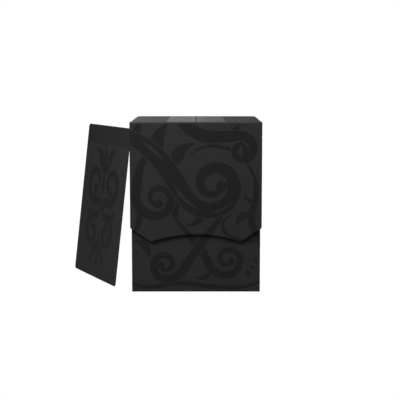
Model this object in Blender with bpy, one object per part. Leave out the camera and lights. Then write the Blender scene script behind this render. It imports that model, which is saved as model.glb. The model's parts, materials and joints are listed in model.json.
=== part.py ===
"""Card deck box: a tray and a hinged lid folded from thin plastic sheet, and a loose divider card.

Units are metres, +Z is up, and the front of the box faces -Y. The origin is the centre of the box's
underside. Every panel, flap and weld tab of the folded sheet is an object of its own.
"""
import math

import bmesh
import bpy
from mathutils import Matrix, Vector

# The closed box.
LID_WIDTH = 0.0726
LID_DEPTH = 0.0726
HEIGHT = 0.0945
SHEET = 0.0006

# Clearances of the folded sheet.
FOLD_GAP = 0.0001          # between two panels that meet at a fold
WELD_GAP = 0.00005         # between a weld tab and the panel that it is welded to
SLIP_GAP = 0.0001          # between the lid's wings and the tray's side walls
FRONT_SLIP_GAP = 0.00015   # between the lid's weld tabs and the tray's front wall

# The lid's front flap: straight sides, a diagonal to each tip, and a shallow arch between the tips.
FLAP_CORNER_Z = 0.0360
FLAP_TIP_X = 0.0246
FLAP_TIP_Z = 0.0285
FLAP_ARCH_RISE = 0.0042
FLAP_CORNER_RADIUS = 0.0008
ARCH_STEPS = 24

# The lid's side wings: a lower edge that rises towards the back.
WING_REAR_Z = 0.0630
WING_REAR_INSET = 0.0050
WING_TOP_INSET = 0.0012
WING_REAR_RADIUS = 0.0040
LID_TAB_WIDTH = 0.0120
LID_TAB_LOWER_Z = 0.0400
LID_TAB_UPPER_Z = 0.0910

# The tray.
WALL_TOP_GAP = 0.0004      # between the tray's walls and the underside of the lid
NOTCH_WIDTH = 0.0240
NOTCH_DEPTH = 0.0140
NOTCH_MOUTH_RADIUS = 0.0030
DUST_FLAP_LENGTH = 0.0240
SEAM_TAB_WIDTH = 0.0120
SEAM_TAB_END_INSET = 0.0030
TAB_TAPER = 0.0040         # how far a tab's free corners are cut back

# The crease that the lid turns on, along the back top edge.
CREASE_SIZE = 0.0004
CREASE_END_GAP = 0.0005    # from the lid's top panel to the hinge axis

# The divider card, standing on the floor and leaning against the lid's left side.
DIVIDER_WIDTH = 0.0660
DIVIDER_HEIGHT = 0.0905
DIVIDER_SHEET = 0.0005
DIVIDER_CORNER_RADIUS = 0.0020
DIVIDER_LEAN = math.radians(6.9)
DIVIDER_TURN = math.radians(63.4)
DIVIDER_NEAR_FOOT_Y = -0.0216   # where the near lower corner stands
DIVIDER_CLEARANCE = 0.0001      # from the lid's side

CORNER_STEPS = 6

# Places that follow from the dimensions above.
WING_OUTER_X = LID_WIDTH / 2
TRAY_SIDE_X = WING_OUTER_X - SHEET - SLIP_GAP
FRONT_Y = -LID_DEPTH / 2
BACK_Y = LID_DEPTH / 2
TAB_FRONT_Y = FRONT_Y + SHEET + WELD_GAP
TRAY_FRONT_Y = TAB_FRONT_Y + SHEET + FRONT_SLIP_GAP
LID_UNDER_Z = HEIGHT - SHEET
WALL_TOP_Z = LID_UNDER_Z - WALL_TOP_GAP
INNER_X = TRAY_SIDE_X - SHEET - FOLD_GAP
HINGE_AXIS = Vector((0.0, BACK_Y, HEIGHT))


def clear_scene():
    """Remove every object, so that the file holds only this model."""
    for obj in list(bpy.data.objects):
        bpy.data.objects.remove(obj, do_unlink=True)


def plastic(name, colour, roughness):
    """A plain plastic material."""
    material = bpy.data.materials.new(name)
    material.use_nodes = True
    shader = material.node_tree.nodes["Principled BSDF"]
    shader.inputs["Base Color"].default_value = (*colour, 1.0)
    shader.inputs["Roughness"].default_value = roughness
    shader.inputs["Metallic"].default_value = 0.0
    material.diffuse_color = (*colour, 1.0)
    return material


def rounded(corners):
    """An outline from (a, b, radius) corners, each rounded by an arc of its radius."""
    outline = []
    count = len(corners)
    for index, (a, b, radius) in enumerate(corners):
        here = Vector((a, b))
        if radius == 0.0:
            outline.append(here)
            continue
        before = Vector(corners[index - 1][:2]) - here
        after = Vector(corners[(index + 1) % count][:2]) - here
        before.normalize()
        after.normalize()
        half_angle = before.angle(after) / 2
        reach = radius / math.tan(half_angle)
        centre = here + (before + after).normalized() * (radius / math.sin(half_angle))
        start = here + before * reach - centre
        end = here + after * reach - centre
        sweep = math.atan2(start.x * end.y - start.y * end.x, start.dot(end))
        for step in range(CORNER_STEPS + 1):
            turn = Matrix.Rotation(sweep * step / CORNER_STEPS, 2)
            outline.append(centre + turn @ start)
    return outline


def rectangle(low_a, low_b, high_a, high_b):
    """A four-cornered outline."""
    return [Vector((low_a, low_b)), Vector((high_a, low_b)), Vector((high_a, high_b)), Vector((low_a, high_b))]


def panel(name, normal, outline, low, high, material):
    """A flat panel: an outline across the axis called normal, filled from low to high along it.

    The outline is given as (y, z) for a panel across X, (x, z) across Y and (x, y) across Z.
    """
    def place(point):
        if normal == "X":
            return (low, point[0], point[1])
        if normal == "Y":
            return (point[0], low, point[1])
        return (point[0], point[1], low)

    thickness = high - low
    push = {"X": (thickness, 0, 0), "Y": (0, thickness, 0), "Z": (0, 0, thickness)}[normal]
    work = bmesh.new()
    face = work.faces.new([work.verts.new(place(point)) for point in outline])
    grown = bmesh.ops.extrude_face_region(work, geom=[face])
    moved = [item for item in grown["geom"] if isinstance(item, bmesh.types.BMVert)]
    bmesh.ops.translate(work, verts=moved, vec=push)
    bmesh.ops.recalc_face_normals(work, faces=work.faces)
    mesh = bpy.data.meshes.new(name)
    work.to_mesh(mesh)
    work.free()
    mesh.materials.append(material)
    obj = bpy.data.objects.new(name, mesh)
    bpy.context.scene.collection.objects.link(obj)
    return obj


def axis_empty(name, location):
    """An empty that moving objects hang on."""
    empty = bpy.data.objects.new(name, None)
    empty.empty_display_size = 0.01
    empty.location = location
    bpy.context.scene.collection.objects.link(empty)
    return empty


def hang(obj, empty):
    """Give the object its origin at the empty, and parent it there."""
    obj.data.transform(Matrix.Translation(-empty.location))
    obj.parent = empty


def mirrored(outline):
    """The outline with its first coordinate's sign changed."""
    return [Vector((-point[0], point[1])) for point in outline]


def tab_outline(root_a, free_a, low_b, high_b):
    """A weld tab from its fold at root_a to its free edge, whose two corners are cut back."""
    return [
        Vector((root_a, low_b)),
        Vector((free_a, low_b + TAB_TAPER)),
        Vector((free_a, high_b - TAB_TAPER)),
        Vector((root_a, high_b)),
    ]


# The tray

def tray_side_walls(material):
    outline = rectangle(TRAY_FRONT_Y, 0.0, BACK_Y, WALL_TOP_Z)
    panel("tray_left_wall", "X", outline, -TRAY_SIDE_X, -TRAY_SIDE_X + SHEET, material)
    panel("tray_right_wall", "X", outline, TRAY_SIDE_X - SHEET, TRAY_SIDE_X, material)


def tray_front_wall(material):
    """The front wall, with a thumb notch in its top edge."""
    half = NOTCH_WIDTH / 2
    notch_z = WALL_TOP_Z - NOTCH_DEPTH
    bend = half * 0.98
    outline = rounded([
        (-INNER_X, 0.0, 0.0),
        (INNER_X, 0.0, 0.0),
        (INNER_X, WALL_TOP_Z, 0.0),
        (half, WALL_TOP_Z, NOTCH_MOUTH_RADIUS * 0.6),
        (half, notch_z, bend),
        (-half, notch_z, bend),
        (-half, WALL_TOP_Z, NOTCH_MOUTH_RADIUS * 0.6),
        (-INNER_X, WALL_TOP_Z, 0.0),
    ])
    panel("tray_front_wall", "Y", outline, TRAY_FRONT_Y, TRAY_FRONT_Y + SHEET, material)


def tray_back_wall(material):
    """The back wall, which reaches up to the lid's crease."""
    outline = rectangle(-INNER_X, 0.0, INNER_X, LID_UNDER_Z)
    panel("tray_back_wall", "Y", outline, BACK_Y - SHEET, BACK_Y, material)


def tray_floor(material):
    """The floor: an outer flap, two dust flaps on it, and an inner panel on top of them."""
    front = TRAY_FRONT_Y + SHEET + FOLD_GAP
    back = BACK_Y - SHEET - FOLD_GAP
    layer = SHEET + FOLD_GAP
    whole = rectangle(-INNER_X, front, INNER_X, back)
    dust = [
        Vector((-INNER_X, front + TAB_TAPER / 2)),
        Vector((-INNER_X + DUST_FLAP_LENGTH, front + TAB_TAPER)),
        Vector((-INNER_X + DUST_FLAP_LENGTH, back - TAB_TAPER)),
        Vector((-INNER_X, back - TAB_TAPER / 2)),
    ]
    panel("floor_outer_flap", "Z", whole, 0.0, SHEET, material)
    panel("floor_left_dust_flap", "Z", dust, layer, layer + SHEET, material)
    panel("floor_right_dust_flap", "Z", mirrored(dust), layer, layer + SHEET, material)
    panel("floor_inner_panel", "Z", whole, 2 * layer, 2 * layer + SHEET, material)


def tray_seam_tab(material):
    """The tab on the left wall that is welded to the inside of the back wall."""
    low = 2 * (SHEET + FOLD_GAP) + SHEET + SEAM_TAB_END_INSET
    outline = tab_outline(-INNER_X, -INNER_X + SEAM_TAB_WIDTH, low, WALL_TOP_Z - SEAM_TAB_END_INSET)
    back = BACK_Y - SHEET - WELD_GAP
    panel("tray_seam_tab", "Y", outline, back - SHEET, back, material)


def living_hinge(material):
    """The thin crease between the back wall and the lid, with a rounded outer edge."""
    outline = rounded([
        (BACK_Y - CREASE_SIZE, LID_UNDER_Z + FOLD_GAP, 0.0),
        (BACK_Y, LID_UNDER_Z + FOLD_GAP, 0.0),
        (BACK_Y, HEIGHT, CREASE_SIZE / 2),
        (BACK_Y - CREASE_SIZE, HEIGHT, 0.0),
    ])
    panel("living_hinge", "X", outline, -INNER_X, INNER_X, material)


# The lid

def lid_top(material):
    outline = rectangle(-WING_OUTER_X, FRONT_Y, WING_OUTER_X, BACK_Y - CREASE_END_GAP)
    return panel("lid_top", "Z", outline, LID_UNDER_Z, HEIGHT, material)


def flap_arch():
    """The points of the arch between the flap's two tips, from the left tip to the right."""
    radius = (FLAP_TIP_X ** 2 + FLAP_ARCH_RISE ** 2) / (2 * FLAP_ARCH_RISE)
    centre_z = FLAP_TIP_Z + FLAP_ARCH_RISE - radius
    half_angle = math.asin(FLAP_TIP_X / radius)
    points = []
    for step in range(ARCH_STEPS + 1):
        angle = half_angle * (2 * step / ARCH_STEPS - 1)
        points.append((radius * math.sin(angle), centre_z + radius * math.cos(angle), 0.0))
    return points


def lid_front_flap(material):
    top = LID_UNDER_Z - FOLD_GAP
    outline = rounded([
        (-WING_OUTER_X, top, 0.0),
        (-WING_OUTER_X, FLAP_CORNER_Z, FLAP_CORNER_RADIUS),
        *flap_arch(),
        (WING_OUTER_X, FLAP_CORNER_Z, FLAP_CORNER_RADIUS),
        (WING_OUTER_X, top, 0.0),
    ])
    return panel("lid_front_flap", "Y", outline, FRONT_Y, FRONT_Y + SHEET, material)


def lid_wings(material):
    """The two side wings, each folded down from the lid's top."""
    front = FRONT_Y + SHEET + FOLD_GAP
    top = LID_UNDER_Z - FOLD_GAP
    outline = rounded([
        (front, top, 0.0),
        (front, FLAP_CORNER_Z, 0.0),
        (BACK_Y - WING_REAR_INSET, WING_REAR_Z, WING_REAR_RADIUS),
        (BACK_Y - WING_TOP_INSET, top, 0.0),
    ])
    left = panel("lid_left_wing", "X", outline, -WING_OUTER_X, -WING_OUTER_X + SHEET, material)
    right = panel("lid_right_wing", "X", outline, WING_OUTER_X - SHEET, WING_OUTER_X, material)
    return left, right


def lid_weld_tabs(material):
    """The wings' front tabs, welded to the inside of the front flap."""
    root = -WING_OUTER_X + SHEET + FOLD_GAP
    outline = tab_outline(root, root + LID_TAB_WIDTH, LID_TAB_LOWER_Z, LID_TAB_UPPER_Z)
    span = (TAB_FRONT_Y, TAB_FRONT_Y + SHEET)
    left = panel("lid_left_weld_tab", "Y", outline, *span, material)
    right = panel("lid_right_weld_tab", "Y", mirrored(outline), *span, material)
    return left, right


# The divider

def divider(material):
    """The divider card, modelled upright on its own frame and then stood against the lid."""
    half = DIVIDER_WIDTH / 2
    radius = DIVIDER_CORNER_RADIUS
    outline = rounded([
        (-half, 0.0, radius),
        (half, 0.0, radius),
        (half, DIVIDER_HEIGHT, radius),
        (-half, DIVIDER_HEIGHT, radius),
    ])
    card = panel("divider", "Y", outline, 0.0, DIVIDER_SHEET, material)
    stand = axis_empty("divider_stand", (0.0, 0.0, 0.0))
    card.parent = stand

    # The card's width runs from its far edge to its near edge, and its back leans on the box.
    turn = Matrix.Rotation(-DIVIDER_TURN, 4, "Z")
    lean = Matrix.Rotation(-DIVIDER_LEAN, 4, "X")
    tilt = turn @ lean
    corners = [tilt @ Vector((point[0], y, point[1])) for point in outline for y in (0.0, DIVIDER_SHEET)]
    near_foot = tilt @ Vector((half, 0.0, 0.0))
    shift = Vector((
        -WING_OUTER_X - DIVIDER_CLEARANCE - max(point.x for point in corners),
        DIVIDER_NEAR_FOOT_Y - near_foot.y,
        -min(point.z for point in corners),
    ))
    stand.matrix_world = Matrix.Translation(shift) @ tilt


def main():
    clear_scene()
    sheet = plastic("sheet", (0.026, 0.026, 0.027), 0.6)
    crease = plastic("crease", (0.032, 0.032, 0.033), 0.4)
    card = plastic("card", (0.027, 0.027, 0.028), 0.6)

    tray_side_walls(sheet)
    tray_front_wall(sheet)
    tray_back_wall(sheet)
    tray_floor(sheet)
    tray_seam_tab(sheet)
    living_hinge(crease)

    lid_axis = axis_empty("lid_axis", HINGE_AXIS)
    for piece in (lid_top(sheet), lid_front_flap(sheet), *lid_wings(sheet), *lid_weld_tabs(sheet)):
        hang(piece, lid_axis)

    divider(card)
    bpy.context.view_layer.update()


main()
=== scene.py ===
"""Looks of the card deck box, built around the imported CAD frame. Metres, +Z up, front towards -Y."""
import json
import math

import bmesh
import bpy
from mathutils import Matrix, Vector, geometry


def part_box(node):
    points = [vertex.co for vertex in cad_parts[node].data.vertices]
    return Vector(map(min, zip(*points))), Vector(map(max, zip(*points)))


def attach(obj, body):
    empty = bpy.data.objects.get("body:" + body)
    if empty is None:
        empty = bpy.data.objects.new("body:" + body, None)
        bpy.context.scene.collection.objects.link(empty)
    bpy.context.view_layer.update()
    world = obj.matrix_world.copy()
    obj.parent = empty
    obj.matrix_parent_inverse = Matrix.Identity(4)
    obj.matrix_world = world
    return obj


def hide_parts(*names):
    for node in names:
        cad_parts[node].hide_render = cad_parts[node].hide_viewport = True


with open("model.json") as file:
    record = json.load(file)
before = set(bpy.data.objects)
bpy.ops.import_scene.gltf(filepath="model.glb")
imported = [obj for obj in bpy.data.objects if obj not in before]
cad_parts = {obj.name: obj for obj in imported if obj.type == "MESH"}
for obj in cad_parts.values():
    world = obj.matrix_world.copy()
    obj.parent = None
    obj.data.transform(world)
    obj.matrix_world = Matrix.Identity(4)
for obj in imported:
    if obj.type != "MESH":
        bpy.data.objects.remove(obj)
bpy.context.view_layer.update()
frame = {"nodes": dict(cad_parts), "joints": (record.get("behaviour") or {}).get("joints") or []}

MM = 0.001

# The two sides of the box: the sign of X, and the word in the names.
SIDES = ((-1, "left"), (1, "right"))

# Faces of the closed box, from the frame.
FLAP_LOW, FLAP_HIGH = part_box("lid_front_flap")
FRONT_LOW, FRONT_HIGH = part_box("tray_front_wall")
FLOOR_LOW, FLOOR_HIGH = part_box("floor_outer_flap")
BACK_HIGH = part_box("tray_back_wall")[1]
LID_TOP_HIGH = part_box("lid_top")[1]
SHEET = FLAP_HIGH.y - FLAP_LOW.y
LID_FRONT_Y = FLAP_LOW.y
LID_SIDE_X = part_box("lid_right_wing")[1].x
TOP_Z = LID_TOP_HIGH.z
TRAY_FRONT_Y = FRONT_LOW.y
TRAY_SIDE_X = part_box("tray_right_wall")[1].x
BACK_Y = BACK_HIGH.y

# How the sheet is folded and cut.
FOLD_RADIUS = 0.7 * MM
FOLD_STEPS = 8
ARC_LENGTH = FOLD_RADIUS * math.pi / 2
CUT_BEVEL = 0.1 * MM
CORNER_STEPS = 8

# The two smooth fields on the lid's top. They lie side by side, with a thin groove between them. The right
# one gains some roughness towards its outer side.
FIELD_INNER_X = 0.4 * MM
FIELD_OUTER_X = 16.0 * MM
FIELD_BACK_INSET = 1.0 * MM
FIELD_CORNER = 0.3 * MM
FIELD_DULLING = 0.07


# ---------------------------------------------------------------- materials

PLASTIC_IOR = 1.49
BLUE_TINT = 1.01

# The sandy grain of the plastic, and a slow unevenness of its tone and roughness, to either side.
GRAIN_SIZE = 0.28 * MM
GRAIN_HEIGHT = 0.05 * MM
TONE_DRIFT = 0.03
ROUGH_DRIFT = 0.02
SAND_NOISE = {"Scale": 1.0 / GRAIN_SIZE, "Detail": 2.0, "Roughness": 0.6}
SLOW_NOISE = {"Scale": 90.0, "Detail": 3.0, "Roughness": 0.5}

# The range that a noise's values mostly lie in.
NOISE_LOW = 0.3
NOISE_HIGH = 0.7


def node(tree, kind, place, **values):
    """A new shader node, with its properties or input values set."""
    made = tree.nodes.new(kind)
    made.location = place
    for key, value in values.items():
        if hasattr(made, key):
            setattr(made, key, value)
        else:
            made.inputs[key.replace("_", " ")].default_value = value
    return made


def grey(level):
    """A grey with a trace of blue."""
    return (level, level, level * BLUE_TINT, 1.0)


def spread(tree, place, noise, low, high):
    """The colour of a noise, spread from one grey level to another."""
    made = node(tree, "ShaderNodeValToRGB", place)
    for element, position, shade in zip(made.color_ramp.elements, (NOISE_LOW, NOISE_HIGH), (low, high)):
        element.position = position
        element.color = grey(shade)
    tree.links.new(noise.outputs["Fac"], made.inputs["Fac"])
    return made.outputs["Color"]


def dulled(tree, rough, where, first_x, last_x, gain):
    """A roughness with a gain that grows from none at the first x to all of it at the last x."""
    parts = node(tree, "ShaderNodeSeparateXYZ", (-700, -200))
    tree.links.new(where, parts.inputs["Vector"])
    rise = node(tree, "ShaderNodeMapRange", (-400, -150), From_Min=first_x, From_Max=last_x, To_Max=gain)
    tree.links.new(parts.outputs["X"], rise.inputs["Value"])
    total = node(tree, "ShaderNodeMath", (-200, -50), operation="ADD")
    tree.links.new(rough, total.inputs[0])
    tree.links.new(rise.outputs["Result"], total.inputs[1])
    return total.outputs["Value"]


def plastic(name, tone, rough, grain, bump, specular=0.3, dulling=None):
    """Black polypropylene: a sandy grain in colour and height, and a slow unevenness over it.

    dulling is (first x, last x, roughness gained) for a finish that gets duller from left to right.
    """
    material = bpy.data.materials.new(name)
    material.use_nodes = True
    tree = material.node_tree
    links = tree.links
    shader = tree.nodes["Principled BSDF"]
    shader.inputs["Specular IOR Level"].default_value = specular
    shader.inputs["IOR"].default_value = PLASTIC_IOR

    where = node(tree, "ShaderNodeTexCoord", (-1200, 0)).outputs["Object"]
    sand = node(tree, "ShaderNodeTexNoise", (-1000, 200), **SAND_NOISE)
    slow = node(tree, "ShaderNodeTexNoise", (-1000, -100), **SLOW_NOISE)
    links.new(where, sand.inputs["Vector"])
    links.new(where, slow.inputs["Vector"])

    blended = node(tree, "ShaderNodeMix", (-400, 250), data_type="RGBA", blend_type="MULTIPLY", Factor=1.0)
    links.new(spread(tree, (-700, 300), sand, tone * (1 - grain), tone * (1 + grain)), blended.inputs["A"])
    links.new(spread(tree, (-700, 0), slow, 1 - TONE_DRIFT, 1 + TONE_DRIFT), blended.inputs["B"])
    links.new(blended.outputs["Result"], shader.inputs["Base Color"])

    drift = node(tree, "ShaderNodeMapRange", (-400, 0), From_Min=NOISE_LOW, From_Max=NOISE_HIGH,
                 To_Min=rough - ROUGH_DRIFT, To_Max=rough + ROUGH_DRIFT)
    links.new(slow.outputs["Fac"], drift.inputs["Value"])
    roughness = drift.outputs["Result"]
    if dulling:
        roughness = dulled(tree, roughness, where, *dulling)
    links.new(roughness, shader.inputs["Roughness"])

    relief = node(tree, "ShaderNodeBump", (-400, -300), Strength=bump, Distance=GRAIN_HEIGHT)
    links.new(sand.outputs["Fac"], relief.inputs["Height"])
    links.new(relief.outputs["Normal"], shader.inputs["Normal"])
    return material


SHEET_FINISH = plastic("sandy_sheet", 0.022, 0.55, grain=0.2, bump=0.2, specular=0.2)
CUT_FINISH = plastic("cut_edge", 0.030, 0.40, grain=0.1, bump=0.05)
FIELD_FINISH = plastic("smooth_field", 0.020, 0.32, grain=0.05, bump=0.03)
DULLER_FIELD_FINISH = plastic("smooth_field_duller", 0.020, 0.32, grain=0.05, bump=0.03,
                              dulling=(FIELD_INNER_X, FIELD_OUTER_X, FIELD_DULLING))
INK_FINISH = plastic("smooth_ornament", 0.0142, 0.45, grain=0.05, bump=0.02, specular=0.15)
CREASE_FINISH = plastic("pressed_crease", 0.028, 0.38, grain=0.1, bump=0.05)
CARD_FINISH = plastic("sandy_card", 0.026, 0.55, grain=0.2, bump=0.15, specular=0.15)
BAND_FINISH = plastic("smooth_band", 0.021, 0.45, grain=0.05, bump=0.02, specular=0.15)
EMBLEM_FINISH = plastic("smooth_emblem", 0.0165, 0.45, grain=0.05, bump=0.02, specular=0.15)


# ---------------------------------------------------------------- flat outlines

def rounded(corners):
    """An outline from (a, b, radius) corners, each rounded by an arc of its radius."""
    outline = []
    count = len(corners)
    for index, (a, b, radius) in enumerate(corners):
        here = Vector((a, b))
        if radius == 0.0:
            outline.append(here)
            continue
        before = (Vector(corners[index - 1][:2]) - here).normalized()
        after = (Vector(corners[(index + 1) % count][:2]) - here).normalized()
        half_angle = before.angle(after) / 2
        reach = radius / math.tan(half_angle)
        centre = here + (before + after).normalized() * (radius / math.sin(half_angle))
        start = here + before * reach - centre
        end = here + after * reach - centre
        sweep = math.atan2(start.x * end.y - start.y * end.x, start.dot(end))
        for step in range(CORNER_STEPS + 1):
            outline.append(centre + Matrix.Rotation(sweep * step / CORNER_STEPS, 2) @ start)
    return outline


def rectangle(low_a, low_b, high_a, high_b):
    """An outline with square corners, from its low corner anticlockwise."""
    corners = ((low_a, low_b), (high_a, low_b), (high_a, high_b), (low_a, high_b))
    return [Vector(corner) for corner in corners]


def inset(outline, distance):
    """The outline moved inwards by a distance. It runs anticlockwise."""
    moved = []
    count = len(outline)
    for index, here in enumerate(outline):
        before = (here - outline[index - 1]).normalized()
        after = (outline[(index + 1) % count] - here).normalized()
        across = Vector((-before.y - after.y, before.x + after.x))
        moved.append(here + across * (distance / (1 + before.dot(after))))
    return moved


# ---------------------------------------------------------------- places

# A place is a function from a point (a, b) of a flat layout, and a depth into the sheet, to a point in space.

# A fold, and then straight on, further than any sheet of the box goes.
FOLD_FIRST = [("fold", ARC_LENGTH), ("straight", 1.0)]


def fold_path(start, heading, inward, runs):
    """Follow a sheet's outer face through straight runs and folds towards its inner side.

    Returns a function from the distance along the sheet and the depth into it to a point in the plane.
    """
    start, heading, inward = Vector(start), Vector(heading), Vector(inward)

    def follow(distance, depth):
        point, ahead, inside = start.copy(), heading.copy(), inward.copy()
        left = distance
        for kind, length in runs:
            part = min(left, length)
            if kind == "straight":
                point = point + ahead * part
            else:
                angle = part / FOLD_RADIUS
                centre = point + inside * FOLD_RADIUS
                ahead, inside = (
                    ahead * math.cos(angle) + inside * math.sin(angle),
                    inside * math.cos(angle) - ahead * math.sin(angle),
                )
                point = centre - inside * FOLD_RADIUS
            left -= part
            if left <= 0:
                break
        return point + inside * depth

    return follow


def fold_lines(first):
    """The distances of a fold's own lines, for a fold that starts at first."""
    return [first + ARC_LENGTH * step / FOLD_STEPS for step in range(FOLD_STEPS + 1)]


def folded_down(path):
    """The place of a sheet that folds up or down: a is its x, and b runs along a path in the YZ plane."""
    def place(x, along, depth):
        y, z = path(along, depth)
        return Vector((x, y, z))

    return place


def folded_round(path, side=1):
    """The place of an upright sheet that folds round: a runs along a path in the XY plane, and b is its z."""
    def place(along, z, depth):
        x, y = path(along, depth)
        return Vector((side * x, y, z))

    return place


def on_side(side, face_x, first_y=0.0):
    """The place of an upright side face: a is how far it is behind the first y, and b is its z."""
    return lambda a, z, depth: Vector((side * (face_x - depth), first_y + a, z))


def level(z):
    """The place of a level face that looks up."""
    return lambda x, y, depth: Vector((x, y, z - depth))


# ---------------------------------------------------------------- sheet

# A face is a side of a thick layout when its normal's z is nearer to zero than SIDE_SLOPE. Two sides make a
# corner when they turn by more than CORNER_ANGLE. A point nearer than TINY to a line lies on it.
SIDE_SLOPE = 0.5
CORNER_ANGLE = math.radians(35)
BEVEL_STEPS = 2
BEVEL_PROFILE = 0.6
TINY = 1e-6
SPLIT_REACH = 1e-8


def split(work, lines, across):
    """Add an edge across the flat layout at each of the lines."""
    for value in lines:
        everything = work.verts[:] + work.edges[:] + work.faces[:]
        bmesh.ops.bisect_plane(work, geom=everything, dist=SPLIT_REACH, plane_co=Vector(across) * value,
                               plane_no=across)


def thicken(work, depth):
    """Give a flat layout its depth along +Z. Returns the faces on its sides."""
    grown = bmesh.ops.extrude_face_region(work, geom=work.faces[:])
    raised_verts = [item for item in grown["geom"] if isinstance(item, bmesh.types.BMVert)]
    bmesh.ops.translate(work, verts=raised_verts, vec=(0, 0, depth))
    bmesh.ops.recalc_face_normals(work, faces=work.faces)
    return {face for face in work.faces if abs(face.normal.z) < SIDE_SLOPE}


def patches(work):
    """The connected groups of faces, in the same order each time."""
    found = set()
    groups = []
    for first in work.faces:
        if first in found:
            continue
        found.add(first)
        group = [first]
        for face in group:
            for near in [other for edge in face.edges for other in edge.link_faces]:
                if near not in found:
                    found.add(near)
                    group.append(near)
        groups.append(group)
    return groups


def face_outwards(work):
    """Turn the faces of each closed body outwards, which makes its signed volume positive."""
    bmesh.ops.recalc_face_normals(work, faces=work.faces)
    for body in patches(work):
        if sum(face.calc_area() * face.normal.dot(face.calc_center_median()) for face in body) < 0:
            bmesh.ops.reverse_faces(work, faces=body)


def as_object(work, name, finishes):
    """Make a mesh an object of the scene, with its finishes."""
    mesh = bpy.data.meshes.new(name)
    work.to_mesh(mesh)
    work.free()
    for finish in finishes:
        mesh.materials.append(finish)
    obj = bpy.data.objects.new(name, mesh)
    bpy.context.scene.collection.objects.link(obj)
    return obj


def put_in_place(work, name, place, finishes):
    """Move a thick layout to its place, and make it an object."""
    for vertex in work.verts:
        vertex.co = place(*vertex.co)
    face_outwards(work)
    return as_object(work, name, finishes)


def bevel_cuts(work, sides, is_cut):
    """Bevel the cut edges: the rims of the sides, and the corners between them."""
    cuts = []
    for edge in work.edges:
        beside = [face in sides for face in edge.link_faces]
        is_corner = all(beside) and edge.calc_face_angle() > CORNER_ANGLE
        is_rim = any(beside) and not all(beside)
        if (is_corner or is_rim) and is_cut((edge.verts[0].co + edge.verts[1].co) / 2):
            cuts.append(edge)
    bmesh.ops.bevel(work, geom=cuts, offset=CUT_BEVEL, segments=BEVEL_STEPS, profile=BEVEL_PROFILE,
                    affect="EDGES", clamp_overlap=True, material=-1)


def mark_joints(work, is_cut):
    """Where the sheet goes on in the next piece, shade the end apart from the faces beside it."""
    work.normal_update()
    for face in work.faces:
        if abs(face.normal.z) < SIDE_SLOPE and not is_cut(face.calc_center_median()):
            for edge in face.edges:
                edge.smooth = False


def sheet_piece(name, outline, place, finish, lines_a=(), lines_b=(), is_cut=lambda point: True, depth=SHEET):
    """A piece of sheet: a flat outline, split along its fold lines, given its depth, and put in its place.

    is_cut tells a cut edge, which is bevelled, from an edge where the sheet goes on in the next piece.
    """
    work = bmesh.new()
    work.faces.new([work.verts.new((a, b, 0.0)) for a, b in outline])
    split(work, lines_a, (1, 0, 0))
    split(work, lines_b, (0, 1, 0))
    sides = thicken(work, depth)
    for face in work.faces:
        face.smooth = True
        face.material_index = 1 if face in sides else 0
    bevel_cuts(work, sides, is_cut)
    mark_joints(work, is_cut)
    obj = put_in_place(work, name, place, (finish, CUT_FINISH))
    shading = obj.modifiers.new("weighted_normal", "WEIGHTED_NORMAL")
    shading.keep_sharp = True
    return obj


def fit(obj, body, slot, *nodes):
    """Ride on a body, and stand for CAD nodes. The slot is not used."""
    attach(obj, body)
    if nodes:
        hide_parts(*nodes)


# ---------------------------------------------------------------- ornament

# Strokes are in millimetres. The smooth ornament stands a little proud of the sheet, and starts a little
# inside it. Where a stroke goes over others, a gap beside it shows the weave.
INK_PROUD = 0.03 * MM
INK_SUNK = 0.02 * MM
WEAVE_GAP = 0.55
STROKE_STEP = 0.9
SPIRAL_STEPS = 12
BUD_STEPS = 7
LEAF_WIDTHS = ((0.0, 0.25), (0.15, 0.62), (0.35, 1.0), (0.6, 0.82), (0.82, 0.38), (1.0, 0.0))
TEARDROP_SHRINK = 0.78
TEARDROP_BEND = 0.08

# Limits below which points are one point, a triangle is nothing, and a patch is a crumb. The first two are
# in millimetres, as the strokes are.
SAME_POINT = 1e-5
LEAST_TURN = 1e-5
HAIRLINE = 0.03 * MM
MIRROR_REACH = 1e-7
LEAST_PATCH = 0.15 * MM ** 2
STRAIGHT_ANGLE = math.radians(0.5)


def through(points):
    """A smooth curve through (x, z, width) points, sampled about every step."""
    points = [Vector(point) for point in points]
    first = points[0] * 2 - points[1]
    last = points[-1] * 2 - points[-2]
    ends = [first, *points, last]
    samples = []
    for index in range(1, len(ends) - 2):
        a, b, c, d = ends[index - 1:index + 3]
        count = max(2, math.ceil((c - b).xy.length / STROKE_STEP))
        for part in range(count):
            t = part / count
            samples.append(0.5 * (2 * b + (c - a) * t + (2 * a - 5 * b + 4 * c - d) * t ** 2
                                  + (3 * b - a - 3 * c + d) * t ** 3))
    samples.append(points[-1])
    return [Vector((sample.x, sample.y, max(sample.z, 0.0))) for sample in samples]


def spiral(centre, outer, inner, start, turns, wide, narrow):
    """Points of a spiral from its outer end to its inner end. Positive turns run anticlockwise."""
    count = math.ceil(abs(turns) * SPIRAL_STEPS)
    points = []
    for index in range(count + 1):
        share = index / count
        radius = outer * (inner / outer) ** share
        angle = math.radians(start) + 2 * math.pi * turns * share
        points.append((centre[0] + radius * math.cos(angle), centre[1] + radius * math.sin(angle),
                       wide + (narrow - wide) * share))
    return points


def leaf(base, tip, belly, bend=0.0):
    """A pointed leaf from base to tip, belly wide, bent sideways by a share of its length."""
    base, tip = Vector(base), Vector(tip)
    along = tip - base
    aside = Vector((-along.y, along.x)) * bend
    return [(*(base + along * t + aside * 4 * t * (1 - t)), belly * width) for t, width in LEAF_WIDTHS]


def disc(centre, radius):
    """A round bud, as a very short stroke."""
    points = []
    for index in range(BUD_STEPS + 1):
        angle = math.pi * index / BUD_STEPS
        points.append((centre[0] - radius * math.cos(angle), centre[1], 2 * radius * math.sin(angle)))
    return points


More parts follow.
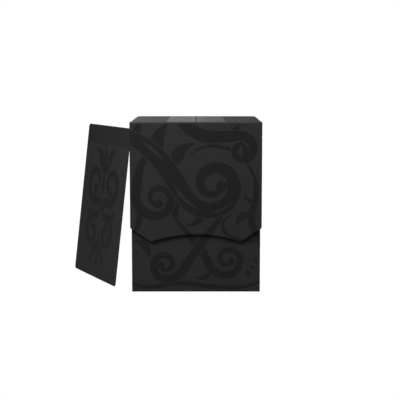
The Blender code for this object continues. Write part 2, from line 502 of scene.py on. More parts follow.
def strip(points, extra=0.0):
    """The triangles along a stroke, extra wider on each side. Their corners run anticlockwise."""
    count = len(points)
    rails = []
    for index, point in enumerate(points):
        ahead = (points[min(index + 1, count - 1)] - points[max(index - 1, 0)]).xy
        aside = Vector((-ahead.y, ahead.x)).normalized() * (point.z / 2 + extra)
        rails.append((point.xy + aside, point.xy - aside))
    triangles = []
    for (left, right), (next_left, next_right) in zip(rails, rails[1:]):
        for a, b, c in ((right, next_right, next_left), (right, next_left, left)):
            turn = (b - a).cross(c - a)
            if abs(turn) > LEAST_TURN:
                triangles.append((a, b, c) if turn > 0 else (a, c, b))
    return triangles


def ink_region(strokes, bounds_outline):
    """The flat area covered by strokes, as points and triangles in millimetres.

    Each stroke is (points, over). A later stroke that goes over the earlier ones leaves a thin gap beside
    itself. A stroke whose over is None cuts its own shape out of what is there.
    """
    corners, faces, inked = [], [], []

    def add(outline, is_ink):
        faces.append(list(range(len(corners), len(corners) + len(outline))))
        corners.extend(Vector((point[0], point[1])) for point in outline)
        inked.append(is_ink)

    add(bounds_outline, True)
    for points, over in strokes:
        curve = through(points)
        if over:
            for triangle in strip(curve, WEAVE_GAP):
                add(triangle, False)
        for triangle in strip(curve):
            add(triangle, over is not None)
    made = geometry.delaunay_2d_cdt(corners, [], faces, 1, SAME_POINT)
    points, triangles, sources = made[0], made[2], made[5]
    kept = [triangle for triangle, source in zip(triangles, sources)
            if 0 in source and max(source) > 0 and inked[max(source)]]
    return points, kept


def raised(work, name, place, finish):
    """Give a flat layout the ornament's depth, and put it on a face, shaded flat."""
    thicken(work, INK_PROUD + INK_SUNK)
    return put_in_place(work, name, lambda a, b, inside: place(a, b, inside - INK_PROUD), (finish,))


def plate(name, outline, place, finish):
    """A smooth field on a face, as proud of the sheet as the ornament."""
    work = bmesh.new()
    work.faces.new([work.verts.new((a, b, 0.0)) for a, b in outline])
    return raised(work, name, place, finish)


def mend(work):
    """Merge points a hairline apart, drop crumbs, and keep only the triangles that the outline needs."""
    bmesh.ops.remove_doubles(work, verts=work.verts, dist=HAIRLINE)
    bmesh.ops.dissolve_degenerate(work, edges=work.edges, dist=HAIRLINE / 3)
    crumbs = [group for group in patches(work) if sum(face.calc_area() for face in group) < LEAST_PATCH]
    bmesh.ops.delete(work, geom=[face for group in crumbs for face in group], context="FACES")
    bmesh.ops.dissolve_limit(work, angle_limit=STRAIGHT_ANGLE, verts=work.verts, edges=work.edges)
    bmesh.ops.triangulate(work, faces=work.faces)
    loose = [vertex for vertex in work.verts if not vertex.link_faces]
    bmesh.ops.delete(work, geom=loose, context="VERTS")


def ornament(name, strokes, outline, place, finish, lines_a=(), mirrored=False):
    """Smooth ornament on a face: strokes in millimetres, kept inside the outline, and proud of the sheet.

    A mirrored ornament has the strokes of its right half only, in an outline that starts at the middle.
    """
    points, triangles = ink_region(strokes, [(a / MM, b / MM) for a, b in outline])
    work = bmesh.new()
    verts = [work.verts.new((point[0] * MM, point[1] * MM, 0.0)) for point in points]
    for triangle in triangles:
        work.faces.new([verts[index] for index in triangle])
    if mirrored:
        everything = work.verts[:] + work.edges[:] + work.faces[:]
        bmesh.ops.mirror(work, geom=everything, axis="X", merge_dist=MIRROR_REACH)
        bmesh.ops.recalc_face_normals(work, faces=work.faces)
    mend(work)
    if lines_a:
        split(work, lines_a, (1, 0, 0))
        bmesh.ops.dissolve_degenerate(work, edges=work.edges, dist=HAIRLINE)
        bmesh.ops.triangulate(work, faces=work.faces)
    return raised(work, name, place, finish)


def curled(points, bud):
    """A stroke that ends in a round bud, as two strokes."""
    end = points[-1]
    return [(points, True), (disc(end[:2], bud), False)]


def teardrops(start, step, count, length, belly, lean):
    """A row of teardrops, each smaller than the one before."""
    row = []
    for index in range(count):
        share = TEARDROP_SHRINK ** index
        base = (start[0] + step[0] * index, start[1] + step[1] * index)
        tip = (base[0] + lean[0] * length * share, base[1] + lean[1] * length * share)
        row.append((leaf(base, tip, belly * share, TEARDROP_BEND), False))
    return row


def front_strokes():
    """Scrollwork of the box's front, in millimetres from the middle and from the floor.

    A broad stem comes in at the top left and ends in a large scroll. Leaves, side scrolls and slim
    tendrils branch off it, and it passes over what lies behind it.
    """
    stem = [(-42, 89, 6.0), (-31, 83.5, 8.0), (-20.5, 75, 9.5), (-13, 65, 10.0)]
    stem += spiral((9.5, 60.5), 17.5, 4.6, 196, 1.42, 9.5, 2.4)
    crest = [(-14, 104, 4.0), (-6, 93, 6.2), (4, 87, 6.8), (15, 86.5, 6.2)]
    crest += spiral((25.0, 79.0), 8.0, 2.3, 88, -1.3, 5.4, 1.7)
    curl = [(-23, 80, 2.0), (-30, 71, 4.2)] + spiral((-21, 52.5), 12.5, 3.2, 168, 1.32, 5.6, 1.7)
    low_left = [(16, 46, 1.2), (10, 37, 3.4), (2, 26, 4.8), (-5.5, 15, 4.8)]
    low_left += spiral((-17, 15.5), 10.0, 2.6, -22, -1.4, 4.8, 1.6)
    low_right = [(-12, 42, 1.2), (-3, 31, 3.4), (5, 20.5, 4.4)]
    low_right += spiral((17.5, 18.5), 10.8, 2.7, 200, 1.35, 4.4, 1.5)
    side = [(42, 20, 2.0), (34, 31, 3.4), (30.5, 42, 3.8), (33, 53, 3.2), (32.5, 63, 2.2), (28, 72, 1.2)]
    wisp = [(19, 43.5, 0.4), (15, 39.5, 1.2), (15.5, 34.5, 1.8), (20.5, 30.8, 2.0), (30, 28.6, 1.8)]
    wisp += [(42, 31, 0.8)]
    runner = [(-42, 6, 0.8), (-27, 2.8, 2.0), (-8, 5, 2.4), (10, 3.0, 2.6), (26, 2.8, 2.0), (42, 8, 0.6)]
    tendril = [(-4, 76, 0.4), (3, 80.5, 1.3), (11, 81.5, 1.9), (21, 79, 1.6)]
    return [
        (leaf((-28, 77), (-29, 97), 6.0, 0.20), False),
        (leaf((-20, 73), (-14, 95), 7.5, 0.18), False),
        (leaf((-12, 68), (0, 83), 7.0, 0.20), False),
        (tendril, True),
        (leaf((-8, 54), (-9, 39), 5.5, -0.22), False),
        (leaf((4, 46), (-6, 37.5), 3.6, 0.20), False),
        *curled(curl, 2.3),
        (leaf((-32, 45), (-36, 33), 3.6, 0.20), False),
        (wisp, True),
        (side, True),
        (leaf((30.5, 44), (22, 37), 4.0, -0.20), False),
        (leaf((33, 51), (26.5, 55), 2.6, 0.20), False),
        (leaf((12, 85), (24, 95), 4.6, -0.16), False),
        *curled(crest, 2.0),
        (runner, True),
        *curled(low_right, 2.0),
        (leaf((9, 12), (-1, 8.5), 3.0, 0.20), False),
        *curled(low_left, 2.0),
        (leaf((-26, 20), (-35, 29), 4.2, -0.20), False),
        *teardrops((30.5, 9.5), (1.6, 3.6), 3, 3.8, 2.6, (-0.55, 0.8)),
        *curled(stem, 3.0),
        (leaf((-29.5, 84), (-17, 72.5), 1.9, 0.04), None),
        (leaf((-11.5, 59.5), (2, 46.8), 2.0, -0.09), None),
        (leaf((8.5, 44.8), (20.5, 50.8), 1.4, -0.09), None),
    ]


def side_strokes(label):
    """Scrollwork of a side, in millimetres from the front edge and from the floor.

    On the left the broad stem goes on round the corner from the front. On the right a new one begins.
    """
    if label == "left":
        start = [(-6, 84.0, 8.6), (1, 87.0, 7.0), (12, 88.0, 6.2)]
    else:
        start = [(4, 56, 0.6), (3, 70, 2.6), (7, 82, 4.6), (15, 87.5, 5.6)]
    high = start + [(26, 86, 6.2)] + spiral((30, 70), 12.5, 3.2, 62, -1.4, 6.2, 1.8)
    rear = [(28, 90, 1.0), (40, 88, 3.0), (50, 82, 3.8)] + spiral((56, 76), 6.5, 2.0, 150, 1.3, 3.8, 1.4)
    low = [(-6, 3.2, 2.0), (2, 5.2, 1.6), (15, 10, 3.2), (31, 9, 4.4)]
    low += spiral((45, 22), 14.0, 3.4, 235, 1.45, 4.8, 1.8)
    rise = [(13, 50, 0.8), (8, 40, 2.6), (9, 28, 3.6)] + spiral((17, 24), 8.0, 2.4, 178, 1.35, 3.6, 1.4)
    runner = [(30, 8, 1.0), (44, 2.6, 2.2), (58, 4.5, 2.2), (67, 12, 0.6)]
    return [
        (leaf((22, 87), (17, 99), 5.0, -0.20), False),
        (leaf((17, 86), (13, 70), 5.0, 0.20), False),
        (leaf((30, 58), (42, 52), 4.2, 0.20), False),
        (runner, True),
        *curled(rear, 1.8),
        (leaf((52, 81), (62, 88), 3.6, 0.20), False),
        *curled(rise, 1.9),
        (leaf((8, 33), (1, 42), 3.0, -0.20), False),
        *curled(low, 2.4),
        (leaf((55, 33), (64, 44), 5.0, 0.20), False),
        (leaf((40, 36), (34, 46), 4.0, -0.20), False),
        *curled(high, 2.5),
        (leaf((13, 88.5), (26, 84.5), 1.3, 0.06), None),
        (leaf((18, 10.6), (33, 8.8), 1.0, -0.05), None),
    ]


def divider_strokes():
    """Right half of a spray of scrolls and leaves, in millimetres from the card's middle and lower edge."""
    high = [(1.6, 38.5, 1.8), (4.4, 45.0, 4.0)]
    high += spiral((12.3, 56.3), 12.3, 4.4, -118, 1.05, 5.6, 3.0)
    low = [(1.6, 46, 1.8), (4.4, 38.0, 3.6)]
    low += spiral((11, 26.8), 10.8, 3.9, 116, -1.05, 5.0, 2.8)
    return [
        (leaf((4.5, 63), (16, 77), 6.5, 0.20), False),
        (leaf((8, 36), (21, 42.5), 5.6, -0.20), False),
        (leaf((4.5, 22), (14, 9), 5.4, -0.20), False),
        *curled(high, 3.2),
        *curled(low, 2.8),
        (leaf((0, 60), (0, 78), 7.2), True),
        (leaf((0, 24), (0, 6), 6.0), True),
        (leaf((0, 49), (0, 62), 4.2), True),
        (disc((0, 43), 3.95), None),
        (disc((0, 43), 3.4), False),
        (disc((0, 43), 1.4), None),
    ]


# ---------------------------------------------------------------- lid

# The front flap's lower edge: a shallow arch between two tips, and a slope from each tip to the side.
FLAP_TIP_X = 24.6 * MM
FLAP_CORNER_Z = 36.0 * MM
FLAP_CORNER_RADIUS = 0.8 * MM
FLAP_ARCH_RISE = 4.2 * MM
ARCH_STEPS = 40

# The wings' lower edges start just above the flap's corner and rise towards the back.
WING_LIFT = 0.3 * MM
WING_FRONT_RADIUS = 1.0 * MM
WING_REAR_Z = 63.0 * MM
WING_REAR_INSET = 5.0 * MM
WING_REAR_RADIUS = 4.0 * MM
WING_TOP_INSET = 1.4 * MM

# The weld tabs and the seam tab get narrower towards their free edge.
TAB_TAPER = 4.0 * MM
TAB_RADIUS = 1.5 * MM
TAB_TOP_GAP = 0.2 * MM

LID_INNER_X = LID_SIDE_X - FOLD_RADIUS
LID_FOLD_Z = TOP_Z - FOLD_RADIUS
WING_FRONT_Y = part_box("lid_right_weld_tab")[0].y + FOLD_RADIUS


def arch(tip_x, tip_z, rise):
    """Points of the shallow arch between the flap's tips, from -X to +X."""
    radius = (tip_x ** 2 + rise ** 2) / (2 * rise)
    centre_z = tip_z + rise - radius
    half_angle = math.asin(tip_x / radius)
    angles = [half_angle * (2 * step / ARCH_STEPS - 1) for step in range(ARCH_STEPS + 1)]
    return [(radius * math.sin(angle), centre_z + radius * math.cos(angle), 0.0) for angle in angles]


def build_lid_top():
    """The top panel, with the fold down to the front flap."""
    flat_depth = LID_TOP_HIGH.y - (LID_FRONT_Y + FOLD_RADIUS)
    wing_start = LID_TOP_HIGH.y - WING_FRONT_Y
    end = flat_depth + ARC_LENGTH
    runs = [("straight", flat_depth), ("fold", ARC_LENGTH)]
    place = folded_down(fold_path((LID_TOP_HIGH.y, TOP_Z), (-1, 0), (0, -1), runs))
    outline = [
        (-LID_INNER_X, 0.0), (LID_INNER_X, 0.0), (LID_INNER_X, wing_start), (LID_SIDE_X, wing_start),
        (LID_SIDE_X, end), (-LID_SIDE_X, end), (-LID_SIDE_X, wing_start), (-LID_INNER_X, wing_start),
    ]

    def is_cut(point):
        beside_wing = abs(abs(point.x) - LID_INNER_X) < TINY and point.y < wing_start - TINY
        return not beside_wing and point.y < end - TINY

    top = sheet_piece("lid_top_panel", outline, place, SHEET_FINISH,
                      lines_b=fold_lines(flat_depth), is_cut=is_cut)
    fit(top, "lid", "sheet", "lid_top")


def build_flap():
    """The front flap, and the ornament on it."""
    outline = rounded([
        (-LID_SIDE_X, LID_FOLD_Z, 0.0),
        (-LID_SIDE_X, FLAP_CORNER_Z, FLAP_CORNER_RADIUS),
        *arch(FLAP_TIP_X, FLAP_LOW.z, FLAP_ARCH_RISE),
        (LID_SIDE_X, FLAP_CORNER_Z, FLAP_CORNER_RADIUS),
        (LID_SIDE_X, LID_FOLD_Z, 0.0),
    ])

    def place(x, z, depth):
        return Vector((x, LID_FRONT_Y + depth, z))

    flap = sheet_piece("lid_flap", outline, place, SHEET_FINISH,
                       is_cut=lambda point: point.y < LID_FOLD_Z - TINY)
    fit(flap, "lid", "sheet", "lid_front_flap")
    inked = ornament("lid_front_ornament", front_strokes(), inset(outline, CUT_BEVEL), place, INK_FINISH)
    fit(inked, "lid", "crease")


def build_wing(side, label):
    """A side wing with its fold from the top panel, and the ornament on its flat part."""
    path = fold_path((LID_INNER_X, TOP_Z), (1, 0), (0, -1), FOLD_FIRST)

    def place(y, along, depth):
        x, z = path(along, depth)
        return Vector((side * x, y, z))

    def down(z):
        return ARC_LENGTH + LID_FOLD_Z - z

    outline = rounded([
        (WING_FRONT_Y, 0.0, 0.0),
        (WING_FRONT_Y, down(FLAP_CORNER_Z + WING_LIFT), WING_FRONT_RADIUS),
        (BACK_Y - WING_REAR_INSET, down(WING_REAR_Z), WING_REAR_RADIUS),
        (BACK_Y - WING_TOP_INSET, ARC_LENGTH, 0.0),
        (BACK_Y - WING_TOP_INSET, 0.0, 0.0),
    ])
    flat_part = [Vector((y - LID_FRONT_Y, min(LID_FOLD_Z, LID_FOLD_Z + ARC_LENGTH - along)))
                 for y, along in outline[:-1]]
    inked = ornament(f"lid_{label}_ornament", side_strokes(label), inset(flat_part, CUT_BEVEL),
                     on_side(side, LID_SIDE_X, LID_FRONT_Y), INK_FINISH)
    fit(inked, "lid", "crease")
    wing = sheet_piece(f"lid_wing_{label}", outline, place, SHEET_FINISH,
                       lines_b=fold_lines(0.0), is_cut=lambda point: point.y > TINY)
    fit(wing, "lid", "sheet", f"lid_{label}_wing")


def build_weld_tab(side, label):
    """The tab behind the flap, folded in from the wing's front edge."""
    low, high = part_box(f"lid_{label}_weld_tab")
    place = folded_round(fold_path((LID_SIDE_X, low.y + FOLD_RADIUS), (0, -1), (-1, 0), FOLD_FIRST), side)
    width = ARC_LENGTH + (high.x - low.x) - FOLD_RADIUS
    top = LID_FOLD_Z - TAB_TOP_GAP
    outline = rounded([
        (0.0, low.z, 0.0),
        (ARC_LENGTH, low.z, 0.0),
        (width, low.z + TAB_TAPER, TAB_RADIUS),
        (width, high.z - TAB_TAPER, TAB_RADIUS),
        (ARC_LENGTH, top, 0.0),
        (0.0, top, 0.0),
    ])
    tab = sheet_piece(f"lid_tab_{label}", outline, place, SHEET_FINISH,
                      lines_a=fold_lines(0.0), is_cut=lambda point: point.x > TINY)
    fit(tab, "lid", "sheet", f"lid_{label}_weld_tab")


def build_lid():
    build_lid_top()
    build_flap()
    for side, label in SIDES:
        build_wing(side, label)
        build_weld_tab(side, label)


# ---------------------------------------------------------------- tray

# The thumb notch in the front's upper edge, under the lid.
NOTCH_REACH = 12.0 * MM
NOTCH_DEPTH = 14.0 * MM
NOTCH_BEND = 11.7 * MM
NOTCH_MOUTH = 1.8 * MM

# The walls end just above the underside that the box stands on. The outer floor flap is a little narrower
# than its solid, and its free corners are rounded. The dust flaps get narrower towards their free edge.
FOOT_Z = 0.02 * MM
FLOOR_SIDE_GAP = 0.5 * MM
FLOOR_CORNER = 3.0 * MM
DUST_TAPER = 3.0 * MM
DUST_RADIUS = 2.0 * MM

TRAY_TOP_Z = FRONT_HIGH.z
FRONT_FOLD_Y = TRAY_FRONT_Y + FOLD_RADIUS
BACK_FOLD_Y = BACK_Y - FOLD_RADIUS
FLOOR_FOLD_Z = FLOOR_LOW.z + FOLD_RADIUS
FLOOR_SIDE_X = FLOOR_HIGH.x - FLOOR_SIDE_GAP

# The front and the back each have a fold at both sides. SPAN is the width of one, laid flat.
FLAT_WIDTH = 2 * (TRAY_SIDE_X - FOLD_RADIUS)
SPAN = FLAT_WIDTH + 2 * ARC_LENGTH
WRAP = [("fold", ARC_LENGTH), ("straight", FLAT_WIDTH), ("fold", ARC_LENGTH)]
WRAP_LINES = fold_lines(0.0) + fold_lines(ARC_LENGTH + FLAT_WIDTH)


def notched_edge(inside):
    """The front's upper edge with the thumb notch, a distance inside the cut."""
    mid = SPAN / 2
    top = TRAY_TOP_Z - inside
    reach = NOTCH_REACH + inside
    low = TRAY_TOP_Z - NOTCH_DEPTH - inside
    mouth = NOTCH_MOUTH - inside
    bend = NOTCH_BEND + inside
    return [
        (SPAN, top, 0.0),
        (mid + reach, top, mouth),
        (mid + reach, low, bend),
        (mid - reach, low, bend),
        (mid - reach, top, mouth),
        (0.0, top, 0.0),
    ]


def build_tray_front():
    """The front wall, and the ornament that runs round its folds."""
    mid = SPAN / 2
    place = folded_round(fold_path((-TRAY_SIDE_X, FRONT_FOLD_Y), (0, -1), (1, 0), WRAP))
    outline = rounded([
        (0.0, FOOT_Z, 0.0),
        (mid - FLOOR_SIDE_X, FOOT_Z, 0.0),
        (mid - FLOOR_SIDE_X, FLOOR_FOLD_Z, 0.0),
        (mid + FLOOR_SIDE_X, FLOOR_FOLD_Z, 0.0),
        (mid + FLOOR_SIDE_X, FOOT_Z, 0.0),
        (SPAN, FOOT_Z, 0.0),
        *notched_edge(0.0),
    ])

    def is_cut(point):
        on_floor_fold = abs(point.y - FLOOR_FOLD_Z) < TINY and abs(point.x - mid) < FLOOR_SIDE_X - TINY
        return TINY < point.x < SPAN - TINY and not on_floor_fold

    front = sheet_piece("tray_front", outline, place, SHEET_FINISH, lines_a=WRAP_LINES, is_cut=is_cut)
    fit(front, "tray", "sheet", "tray_front_wall")

    shift = mid / MM
    strokes = [([(x + shift, z, width) for x, z, width in points], over) for points, over in front_strokes()]
    face = rounded([(0.0, FLOOR_FOLD_Z, 0.0), (SPAN, FLOOR_FOLD_Z, 0.0), *notched_edge(CUT_BEVEL)])
    inked = ornament("tray_front_ornament", strokes, face, place, INK_FINISH, lines_a=WRAP_LINES)
    fit(inked, "tray", "crease")


def build_tray_back():
    """The back wall, which is taller between its folds, up to the crease."""
    place = folded_round(fold_path((TRAY_SIDE_X, BACK_FOLD_Y), (0, 1), (-1, 0), WRAP))
    outline = [
        (0.0, FOOT_Z), (SPAN, FOOT_Z), (SPAN, TRAY_TOP_Z),
        (SPAN - ARC_LENGTH, TRAY_TOP_Z), (SPAN - ARC_LENGTH, BACK_HIGH.z),
        (ARC_LENGTH, BACK_HIGH.z), (ARC_LENGTH, TRAY_TOP_Z), (0.0, TRAY_TOP_Z),
    ]
    back = sheet_piece("tray_back", outline, place, SHEET_FINISH, lines_a=WRAP_LINES,
                       is_cut=lambda point: TINY < point.x < SPAN - TINY)
    fit(back, "tray", "sheet", "tray_back_wall")


def build_tray_side(side, label):
    """A side wall between the folds of the front and the back, and the ornament on it."""
    wall = sheet_piece(f"tray_side_{label}", rectangle(FRONT_FOLD_Y, FOOT_Z, BACK_FOLD_Y, TRAY_TOP_Z),
                       on_side(side, TRAY_SIDE_X), SHEET_FINISH,
                       is_cut=lambda point: FRONT_FOLD_Y + TINY < point.x < BACK_FOLD_Y - TINY)
    fit(wall, "tray", "sheet", f"tray_{label}_wall")

    face = rectangle(FRONT_FOLD_Y - LID_FRONT_Y, FOOT_Z + CUT_BEVEL,
                     BACK_FOLD_Y - LID_FRONT_Y, TRAY_TOP_Z - CUT_BEVEL)
    inked = ornament(f"tray_{label}_ornament", side_strokes(label), face,
                     on_side(side, TRAY_SIDE_X, LID_FRONT_Y), INK_FINISH)
    fit(inked, "tray", "crease")


def build_outer_floor():
    """The outer floor flap, with its fold from the front wall."""
    length = ARC_LENGTH + (FLOOR_HIGH.y - FRONT_FOLD_Y)
    place = folded_down(fold_path((TRAY_FRONT_Y, FLOOR_FOLD_Z), (0, -1), (1, 0), FOLD_FIRST))
    outline = rounded([
        (-FLOOR_SIDE_X, 0.0, 0.0),
        (FLOOR_SIDE_X, 0.0, 0.0),
        (FLOOR_SIDE_X, length, FLOOR_CORNER),
        (-FLOOR_SIDE_X, length, FLOOR_CORNER),
    ])
    outer = sheet_piece("floor_outer", outline, place, SHEET_FINISH,
                        lines_b=fold_lines(0.0), is_cut=lambda point: point.y > TINY)
    fit(outer, "tray", "sheet", "floor_outer_flap")


def build_dust_flap(side, label):
    """A side flap between the two layers of the floor."""
    low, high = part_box(f"floor_{label}_dust_flap")
    root = high.x if side > 0 else low.x
    free = low.x if side > 0 else high.x
    outline = rounded([
        (root, low.y, 0.0),
        (free, low.y + DUST_TAPER, DUST_RADIUS),
        (free, high.y - DUST_TAPER, DUST_RADIUS),
        (root, high.y, 0.0),
    ])
    flap = sheet_piece(f"floor_dust_{label}", outline, level(high.z), SHEET_FINISH)
    fit(flap, "tray", "sheet", f"floor_{label}_dust_flap")


def build_inner_floor():
    """The floor that the cards stand on."""
    low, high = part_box("floor_inner_panel")
    inner = sheet_piece("floor_inner", rectangle(low.x, low.y, high.x, high.y), level(high.z), SHEET_FINISH)
    fit(inner, "tray", "sheet", "floor_inner_panel")


def build_seam_tab():
    """The tab inside the back wall that closes the wrap."""
    low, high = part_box("tray_seam_tab")
    outline = rounded([
        (low.x, low.z, 0.0),
        (high.x, low.z + TAB_TAPER, TAB_RADIUS),
        (high.x, high.z - TAB_TAPER, TAB_RADIUS),
        (low.x, high.z, 0.0),
    ])
    tab = sheet_piece("tray_seam", outline, lambda x, z, depth: Vector((x, high.y - depth, z)), SHEET_FINISH)
    fit(tab, "tray", "sheet", "tray_seam_tab")


def build_tray():
    build_tray_front()
    build_tray_back()
    for side, label in SIDES:
        build_tray_side(side, label)
    build_outer_floor()
    for side, label in SIDES:
        build_dust_flap(side, label)
    build_inner_floor()
    build_seam_tab()


# ---------------------------------------------------------------- hinge

# The beads lie just inside and just below the hinge's axis. Their ends are rounded by a share of the radius,
# at the edges that turn by more than the angle.
BEAD_RADIUS = 0.30 * MM
BEAD_INSET = 0.20 * MM
BEAD_SEGMENTS = 20
BEAD_END_ROUNDING = 0.4
BEAD_END_STEPS = 3
BEAD_END_PROFILE = 0.5
BEAD_END_ANGLE = 1.0


def build_hinge():
    """Two slim beads along the hinge's axis, one on the tray and one on the lid."""
    joint = next(j for j in frame["joints"] if j["name"] == "lid_hinge")
    axis_y, axis_z = joint["pos_m"][1:]
    low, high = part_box("living_hinge")

    def place(x, y, z):
        return Vector((x, y + (axis_y - BEAD_INSET), z + (axis_z - BEAD_INSET)))

    for body, covered in (("tray", ["living_hinge"]), ("lid", [])):
        work = bmesh.new()
        bmesh.ops.create_cone(work, cap_ends=True, segments=BEAD_SEGMENTS, radius1=BEAD_RADIUS,
                              radius2=BEAD_RADIUS, depth=high.x - low.x,
                              matrix=Matrix.Rotation(math.pi / 2, 4, "Y"))
        rims = [edge for edge in work.edges if edge.calc_face_angle() > BEAD_END_ANGLE]
        bmesh.ops.bevel(work, geom=rims, offset=BEAD_RADIUS * BEAD_END_ROUNDING, segments=BEAD_END_STEPS,
                        profile=BEAD_END_PROFILE, affect="EDGES")
        for face in work.faces:
            face.smooth = True
        bead = put_in_place(work, f"hinge_bead_{body}", place, (CREASE_FINISH,))
        fit(bead, body, "crease", *covered)


# ---------------------------------------------------------------- label fields

def build_label_fields():
    """Two smooth fields on the lid's top, side by side."""
    front = LID_FRONT_Y + FOLD_RADIUS
    back = LID_TOP_HIGH.y - FIELD_BACK_INSET
    for (side, label), finish in zip(SIDES, (FIELD_FINISH, DULLER_FIELD_FINISH)):
        low, high = sorted((side * FIELD_INNER_X, side * FIELD_OUTER_X))
        outline = rounded([(a, b, FIELD_CORNER) for a, b in rectangle(low, front, high, back)])
        fit(plate(f"label_field_{label}", outline, level(TOP_Z), finish), "lid", "crease")


# ---------------------------------------------------------------- divider

DIVIDER_RADIUS = 2.0 * MM
BAND_HEIGHT = 11.0 * MM
BAND_EDGE = 0.15 * MM


def divider_frame():
    """The divider's own frame, from its CAD solid.

    Returns the middle of its lower edge on the outer face, the directions of its width, its height and its
    outer face, and its width, height and thickness.
    """
    mesh = frame["nodes"]["divider"].data
    normal = max(mesh.polygons, key=lambda face: face.area).normal.copy()
    if normal.x > 0:
        normal = -normal
    width = Vector((normal.y, -normal.x, 0.0)).normalized()
    if width.y > 0:
        width = -width
    up = normal.cross(width)
    if up.z < 0:
        up = -up

    def reach(direction):
        along = [vertex.co.dot(direction) for vertex in mesh.vertices]
        return min(along), max(along)

    low_w, high_w = reach(width)
    low_u, high_u = reach(up)
    low_n, high_n = reach(normal)
    origin = width * (low_w + high_w) / 2 + up * low_u + normal * high_n
    return origin, width, up, normal, high_w - low_w, high_u - low_u, high_n - low_n


def build_divider():
    """The loose divider card, with a smooth band along its top and a mirrored spray below."""
    origin, width, up, normal, size_w, size_h, depth = divider_frame()
    half = size_w / 2

    def place(a, b, inside):
        return origin + width * a + up * b - normal * inside

    outline = rounded([(a, b, DIVIDER_RADIUS) for a, b in rectangle(-half, 0.0, half, size_h)])
    card = sheet_piece("divider_card", outline, place, CARD_FINISH, depth=depth)
    fit(card, "divider_card", "card", "divider")

    band_low = size_h - BAND_HEIGHT
    corner = DIVIDER_RADIUS - BAND_EDGE
    band_outline = rounded([
        (-half + BAND_EDGE, band_low, 0.0),
        (half - BAND_EDGE, band_low, 0.0),
        (half - BAND_EDGE, size_h - BAND_EDGE, corner),
        (-half + BAND_EDGE, size_h - BAND_EDGE, corner),
    ])
    fit(plate("divider_band", band_outline, place, BAND_FINISH), "divider_card", "card")
    field = rectangle(0.0, BAND_EDGE, half - BAND_EDGE, band_low)
    emblem = ornament("divider_emblem", divider_strokes(), field, place, EMBLEM_FINISH, mirrored=True)
    fit(emblem, "divider_card", "card")


# ---------------------------------------------------------------- stage

LID_MIDDLE = (-0.02, 0.0, 0.09)
FRONT_MIDDLE = (0.0, -0.03, 0.05)

# Each light is a name, a place, what it is aimed at, a size and a power. The keys light the front from high
# in front. The rims light the lid's top from behind. The fills light the back and the two sides.
LIGHTS = (
    ("key", (-0.28, -0.42, 0.50), FRONT_MIDDLE, (0.25, 0.25), 1.40),
    ("high_key", (0.42, -0.30, 0.62), FRONT_MIDDLE, (0.20, 0.20), 1.8),
    ("near_key", (-0.12, -0.20, 0.34), (-0.01, -0.03, 0.07), (0.12, 0.12), 1.16),
    ("rim", (-0.22, 0.42, 0.30), LID_MIDDLE, (0.30, 0.20), 0.465),
    ("low_rim", (-0.15, 0.60, 0.16), LID_MIDDLE, (0.40, 0.12), 0.076),
    ("back_fill", (0.10, 0.60, 0.04), (0, 0, 0.04), (0.40, 0.06), 2.4),
    ("left_fill", (-0.60, 0.17, 0.16), (0, 0.17, 0.04), (0.38, 0.06), 0.08),
    ("right_fill", (0.45, 0.10, 0.30), (0.03, 0.05, 0.04), (0.25, 0.10), 1.15),
)

# The room is dark, apart from a soft bright horizon behind the object and to its right. It starts where a
# direction agrees with its aim by more than the start, as their dot product.
HORIZON_AIM = (0.5, 0.85, 0.12)
HORIZON_START = 0.55
HORIZON_LIGHT = 0.2
ROOM_LIGHT = 0.004
WHITE = (1, 1, 1, 1)

FLOOR_SIZE = 6.0
PAPER_GREY = (0.2, 0.2, 0.2, 1)
PAPER_ROUGHNESS = 0.9
PAPER_SPECULAR = 0.1

# The camera's angles are in degrees, and its lens and sensor are in millimetres.
CAMERA_PLACE = (2.23 * MM, -612.29 * MM, 122.38 * MM)
CAMERA_DOWN = 6.995
CAMERA_TURN = -0.002
CAMERA_LENS = 94.98
CAMERA_SENSOR = 36.0
CAMERA_NEAR = 0.01
CAMERA_FAR = 20.0


def area_light(name, place, target, size, power):
    """A rectangular light at a place, aimed at a target and hidden from the camera."""
    light = bpy.data.lights.new(name, "AREA")
    light.shape = "RECTANGLE"
    light.size, light.size_y = size
    light.energy = power
    obj = bpy.data.objects.new(name, light)
    obj.location = place
    obj.rotation_mode = "QUATERNION"
    obj.rotation_quaternion = (Vector(target) - Vector(place)).to_track_quat("-Z", "Y")
    obj.visible_camera = False
    bpy.context.scene.collection.objects.link(obj)


def white_to_camera(tree, shaded, white, output):
    """Show plain white to the camera, and the shaded surface to every other ray."""
    seen = node(tree, "ShaderNodeLightPath", (-200, 200))
    either = node(tree, "ShaderNodeMixShader", (300, 0))
    tree.links.new(seen.outputs["Is Camera Ray"], either.inputs["Fac"])
    tree.links.new(shaded, either.inputs[1])
    tree.links.new(white, either.inputs[2])
    tree.links.new(either.outputs["Shader"], tree.nodes[output].inputs["Surface"])


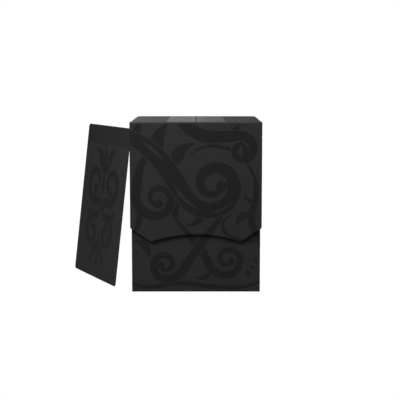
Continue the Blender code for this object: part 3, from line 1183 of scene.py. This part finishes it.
def floor_finish():
    """Grey paper, which the camera sees as plain white."""
    paper = bpy.data.materials.new("paper")
    paper.use_nodes = True
    tree = paper.node_tree
    shader = tree.nodes["Principled BSDF"]
    shader.inputs["Base Color"].default_value = PAPER_GREY
    shader.inputs["Roughness"].default_value = PAPER_ROUGHNESS
    shader.inputs["Specular IOR Level"].default_value = PAPER_SPECULAR
    white = node(tree, "ShaderNodeEmission", (0, -300), Color=WHITE, Strength=1.0)
    white_to_camera(tree, shader.outputs["BSDF"], white.outputs["Emission"], "Material Output")
    return paper


def studio_world():
    """The dark room and its horizon, which the camera sees as plain white."""
    world = bpy.data.worlds.new("studio")
    world.use_nodes = True
    tree = world.node_tree
    dim = tree.nodes["Background"]
    dim.inputs["Color"].default_value = WHITE
    heading = node(tree, "ShaderNodeTexCoord", (-900, 0))
    towards = node(tree, "ShaderNodeVectorMath", (-700, 0), operation="DOT_PRODUCT")
    towards.inputs[1].default_value = HORIZON_AIM
    glow = node(tree, "ShaderNodeMapRange", (-500, 0), interpolation_type="SMOOTHSTEP",
                From_Min=HORIZON_START, To_Min=ROOM_LIGHT, To_Max=HORIZON_LIGHT)
    tree.links.new(heading.outputs["Generated"], towards.inputs[0])
    tree.links.new(towards.outputs["Value"], glow.inputs["Value"])
    tree.links.new(glow.outputs["Result"], dim.inputs["Strength"])
    white = node(tree, "ShaderNodeBackground", (0, -200), Color=WHITE, Strength=1.0)
    white_to_camera(tree, dim.outputs["Background"], white.outputs["Background"], "World Output")
    return world


def build_floor():
    """The pale floor, which is no part of the object."""
    work = bmesh.new()
    bmesh.ops.create_grid(work, x_segments=1, y_segments=1, size=FLOOR_SIZE)
    as_object(work, "floor", (floor_finish(),))


def build_camera():
    """The camera in front of the box, looking slightly down."""
    camera = bpy.data.cameras.new("camera")
    camera.sensor_width = CAMERA_SENSOR
    camera.lens = CAMERA_LENS
    camera.clip_start = CAMERA_NEAR
    camera.clip_end = CAMERA_FAR
    obj = bpy.data.objects.new("camera", camera)
    obj.location = CAMERA_PLACE
    obj.rotation_euler = (math.radians(90 - CAMERA_DOWN), 0.0, math.radians(CAMERA_TURN))
    bpy.context.scene.collection.objects.link(obj)
    bpy.context.scene.camera = obj


def build_stage():
    build_floor()
    bpy.context.scene.world = studio_world()
    for light in LIGHTS:
        area_light(*light)
    build_camera()
    bpy.context.scene.view_settings.view_transform = "Standard"


build_lid()
build_tray()
build_hinge()
build_label_fields()
build_divider()
build_stage()
